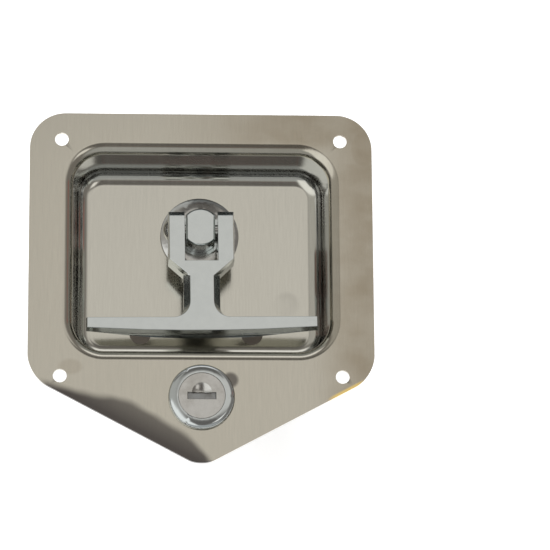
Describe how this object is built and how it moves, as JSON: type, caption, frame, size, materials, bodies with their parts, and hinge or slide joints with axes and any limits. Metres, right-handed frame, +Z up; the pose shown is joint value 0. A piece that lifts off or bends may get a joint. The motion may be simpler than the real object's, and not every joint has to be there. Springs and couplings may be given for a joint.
{
  "type": "flush folding T-handle latch lock",
  "caption": "Recessed stainless latch for a vending machine door: a T-handle folds out of a pressed dish and turns a cam, and a wafer cylinder below blocks it.",
  "frame": {"origin": "centre of the four fixing holes on the back face of the flange, where it meets the door", "axes": "+X to the right seen from the front, +Y back into the door, +Z up"},
  "size_m": [0.1206, 0.0575, 0.1256],
  "materials": {
    "pressed_stainless": "satin stainless sheet, bright-rolled, with polished drawn walls",
    "polished_stainless": "polished stainless",
    "chrome_casting": "bright chrome plate over a zinc casting",
    "zinc_steel": "zinc-plated steel",
    "spring_steel": "oiled spring steel",
    "dull_steel": "dull stamped steel",
    "sintered_bronze": "oiled sintered bronze",
    "lock_brass": "machined brass",
    "black_rubber": "matte"
  },
  "bodies": {
    "pan_body": {"pan": "pressed_stainless", "escutcheon": "polished_stainless", "spindle_gasket": "black_rubber", "spindle_bush": "sintered_bronze", "thrust_washer": "zinc_steel", "stop_studs": "zinc_steel", "lock_housing": "chrome_casting", "lock_star_washer": "zinc_steel", "lock_nut": "zinc_steel"},
    "spindle_body": {"spindle": "chrome_casting", "lock_lever": "zinc_steel", "spring_washer": "spring_steel", "back_washer": "zinc_steel", "roll_pin": "spring_steel", "latch_cam": "zinc_steel", "cam_washer": "zinc_steel", "cam_screw": "zinc_steel"},
    "handle_body": {"t_handle": "chrome_casting", "hinge_pin": "polished_stainless"},
    "plug_body": {"plug": "lock_brass", "plug_cap": "polished_stainless", "shutter_pin": "dull_steel", "stop_washer": "zinc_steel", "lock_cam": "zinc_steel", "tail_washer": "zinc_steel", "tail_nut": "zinc_steel", "wafer_springs": "spring_steel"},
    "shutter_body": {"shutter": "dull_steel", "shutter_spring": "spring_steel"},
    "wafer_1_body": {"wafer_1": "lock_brass"},
    "wafer_2_body": {"wafer_2": "lock_brass"},
    "wafer_3_body": {"wafer_3": "lock_brass"},
    "wafer_4_body": {"wafer_4": "lock_brass"},
    "wafer_5_body": {"wafer_5": "lock_brass"}
  },
  "joints": [
    {"name": "handle_lift", "type": "hinge", "parent": "spindle_body", "child": "handle_body", "pos_m": [0, 0.011, 0.0131], "axis": [-1, 0, 0], "range_deg": [0, 90]},
    {"name": "spindle_turn", "type": "hinge", "parent": "pan_body", "child": "spindle_body", "pos_m": [0, 0.011, 0.0131], "axis": [0, 1, 0], "range_deg": [0, 90]},
    {"name": "plug_turn", "type": "hinge", "parent": "pan_body", "child": "plug_body", "pos_m": [0, 0, -0.0502], "axis": [0, 1, 0], "range_deg": [0, 90]},
    {"name": "shutter_swing", "type": "hinge", "parent": "plug_body", "child": "shutter_body", "pos_m": [0, -0.00275, -0.04835], "axis": [1, 0, 0], "range_deg": [0, 85], "stiffness_Nm_per_rad": 0.0004, "springref_deg": -11.46},
    {"name": "wafer_slide_1", "type": "slide", "parent": "plug_body", "child": "wafer_1_body", "axis": [1, 0, 0], "range_m": [0, 0.0009]},
    {"name": "wafer_slide_2", "type": "slide", "parent": "plug_body", "child": "wafer_2_body", "axis": [1, 0, 0], "range_m": [0, 0.0009]},
    {"name": "wafer_slide_3", "type": "slide", "parent": "plug_body", "child": "wafer_3_body", "axis": [1, 0, 0], "range_m": [0, 0.0009]},
    {"name": "wafer_slide_4", "type": "slide", "parent": "plug_body", "child": "wafer_4_body", "axis": [1, 0, 0], "range_m": [0, 0.0009]},
    {"name": "wafer_slide_5", "type": "slide", "parent": "plug_body", "child": "wafer_5_body", "axis": [1, 0, 0], "range_m": [0, 0.0009]}
  ],
  "couplings": [
    {"joint": "spindle_turn", "follows": "handle_lift", "ratio": 1},
    {"joint": "wafer_slide_2", "follows": "wafer_slide_1", "ratio": 1},
    {"joint": "wafer_slide_3", "follows": "wafer_slide_1", "ratio": 1},
    {"joint": "wafer_slide_4", "follows": "wafer_slide_1", "ratio": 1},
    {"joint": "wafer_slide_5", "follows": "wafer_slide_1", "ratio": 1}
  ]
}
